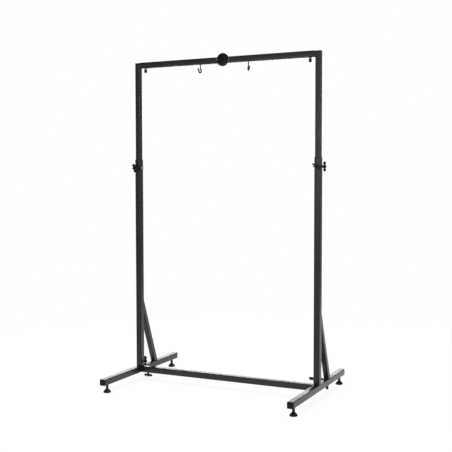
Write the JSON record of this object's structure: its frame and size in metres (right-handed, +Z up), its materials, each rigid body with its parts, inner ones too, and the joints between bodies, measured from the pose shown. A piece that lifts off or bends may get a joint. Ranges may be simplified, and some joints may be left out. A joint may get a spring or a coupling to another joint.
{
  "type": "gong stand",
  "caption": "Free-standing frame of square black steel tube with telescoping posts, braced feet on levelling pads and a top bar with hooks for a gong.",
  "frame": {"origin": "on the floor, in the middle of the two feet", "axes": "+X to the right seen from the front, +Y to the back, +Z up"},
  "size_m": [1.214, 0.842, 1.911],
  "materials": {
    "painted_steel": "semi-gloss black powder coat",
    "black_steel": "blackened steel",
    "zinc_steel": "zinc plated",
    "black_plastic": "moulded black plastic",
    "badge_black": "gloss black, no print",
    "gold_rim": "satin gold"
  },
  "bodies": {
    "base": {"foot_left": "painted_steel", "foot_right": "painted_steel", "lower_post_left": "painted_steel", "lower_post_right": "painted_steel", "brace_left": "painted_steel", "brace_right": "painted_steel", "brace_bolt_left": "black_steel", "brace_bolt_right": "black_steel", "bottom_bar": "painted_steel", "foot_cap_front_left": "black_plastic", "foot_cap_rear_left": "black_plastic", "foot_cap_front_right": "black_plastic", "foot_cap_rear_right": "black_plastic"},
    "upper_frame": {"upper_post_left": "painted_steel", "upper_post_right": "painted_steel", "top_bar": "painted_steel", "hook_insert_left": "black_steel", "hook_insert_right": "black_steel", "badge_disc": "badge_black", "badge_rim": "gold_rim"},
    "lock_left": {"lock_wing_left": "black_plastic", "lock_screw_left": "zinc_steel"},
    "front_left": {"front_wing_left": "black_plastic", "front_screw_left": "zinc_steel"},
    "inner_left": {"inner_wing_left": "black_plastic", "inner_screw_left": "zinc_steel"},
    "rear_left": {"rear_wing_left": "black_plastic", "rear_screw_left": "zinc_steel"},
    "base_left": {"base_wing_left": "black_plastic", "base_screw_left": "zinc_steel"},
    "brace_left": {"brace_wing_left": "black_plastic", "brace_screw_left": "zinc_steel"},
    "top_left": {"top_wing_left": "black_plastic", "top_screw_left": "zinc_steel"},
    "hook_left": {"hook_left": "black_steel"},
    "leveller_front_left": {"levelling_pad_front_left": "black_plastic", "levelling_stud_front_left": "zinc_steel"},
    "leveller_rear_left": {"levelling_pad_rear_left": "black_plastic", "levelling_stud_rear_left": "zinc_steel"},
    "lock_right": {"lock_wing_right": "black_plastic", "lock_screw_right": "zinc_steel"},
    "front_right": {"front_wing_right": "black_plastic", "front_screw_right": "zinc_steel"},
    "inner_right": {"inner_wing_right": "black_plastic", "inner_screw_right": "zinc_steel"},
    "rear_right": {"rear_wing_right": "black_plastic", "rear_screw_right": "zinc_steel"},
    "base_right": {"base_wing_right": "black_plastic", "base_screw_right": "zinc_steel"},
    "brace_right": {"brace_wing_right": "black_plastic", "brace_screw_right": "zinc_steel"},
    "top_right": {"top_wing_right": "black_plastic", "top_screw_right": "zinc_steel"},
    "hook_right": {"hook_right": "black_steel"},
    "leveller_front_right": {"levelling_pad_front_right": "black_plastic", "levelling_stud_front_right": "zinc_steel"},
    "leveller_rear_right": {"levelling_pad_rear_right": "black_plastic", "levelling_stud_rear_right": "zinc_steel"}
  },
  "joints": [
    {"name": "height_slide", "type": "slide", "parent": "base", "child": "upper_frame", "axis": [0, 0, 1], "range_m": [-0.5, 0.1]},
    {"name": "lock_left_pull", "type": "slide", "parent": "base", "child": "lock_left", "axis": [-1, 0, 0], "range_m": [0, 0.048]},
    {"name": "front_left_turn", "type": "hinge", "parent": "base", "child": "front_left", "pos_m": [-0.5625, -0.0285, 1.27], "axis": [0, -1, 0], "continuous": true},
    {"name": "inner_left_turn", "type": "hinge", "parent": "base", "child": "inner_left", "pos_m": [-0.545, -0.011, 0.112], "axis": [1, 0, 0], "continuous": true},
    {"name": "rear_left_turn", "type": "hinge", "parent": "base", "child": "rear_left", "pos_m": [-0.5625, 0.0065, 0.112], "axis": [0, 1, 0], "continuous": true},
    {"name": "base_left_turn", "type": "hinge", "parent": "base", "child": "base_left", "pos_m": [-0.509, -0.011, 0.0475], "axis": [0, 0, -1], "continuous": true},
    {"name": "brace_left_turn", "type": "hinge", "parent": "base", "child": "brace_left", "pos_m": [-0.5625, 0.153, 0.0475], "axis": [0, 0, -1], "continuous": true},
    {"name": "top_left_turn", "type": "hinge", "parent": "upper_frame", "child": "top_left", "pos_m": [-0.514, -0.011, 1.857], "axis": [0, 0, -1], "continuous": true},
    {"name": "hook_left_turn", "type": "hinge", "parent": "upper_frame", "child": "hook_left", "pos_m": [-0.15, -0.011, 1.857], "axis": [0, 0, 1], "continuous": true},
    {"name": "leveller_front_left_slide", "type": "slide", "parent": "base", "child": "leveller_front_left", "axis": [0, 0, -1], "range_m": [0, 0.015]},
    {"name": "leveller_rear_left_slide", "type": "slide", "parent": "base", "child": "leveller_rear_left", "axis": [0, 0, -1], "range_m": [0, 0.015]},
    {"name": "lock_right_pull", "type": "slide", "parent": "base", "child": "lock_right", "axis": [1, 0, 0], "range_m": [0, 0.048]},
    {"name": "front_right_turn", "type": "hinge", "parent": "base", "child": "front_right", "pos_m": [0.5625, -0.0285, 1.27], "axis": [0, -1, 0], "continuous": true},
    {"name": "inner_right_turn", "type": "hinge", "parent": "base", "child": "inner_right", "pos_m": [0.545, -0.011, 0.112], "axis": [-1, 0, 0], "continuous": true},
    {"name": "rear_right_turn", "type": "hinge", "parent": "base", "child": "rear_right", "pos_m": [0.5625, 0.0065, 0.112], "axis": [0, 1, 0], "continuous": true},
    {"name": "base_right_turn", "type": "hinge", "parent": "base", "child": "base_right", "pos_m": [0.509, -0.011, 0.0475], "axis": [0, 0, -1], "continuous": true},
    {"name": "brace_right_turn", "type": "hinge", "parent": "base", "child": "brace_right", "pos_m": [0.5625, 0.153, 0.0475], "axis": [0, 0, -1], "continuous": true},
    {"name": "top_right_turn", "type": "hinge", "parent": "upper_frame", "child": "top_right", "pos_m": [0.514, -0.011, 1.857], "axis": [0, 0, -1], "continuous": true},
    {"name": "hook_right_turn", "type": "hinge", "parent": "upper_frame", "child": "hook_right", "pos_m": [0.15, -0.011, 1.857], "axis": [0, 0, 1], "continuous": true},
    {"name": "leveller_front_right_slide", "type": "slide", "parent": "base", "child": "leveller_front_right", "axis": [0, 0, -1], "range_m": [0, 0.015]},
    {"name": "leveller_rear_right_slide", "type": "slide", "parent": "base", "child": "leveller_rear_right", "axis": [0, 0, -1], "range_m": [0, 0.015]}
  ]
}
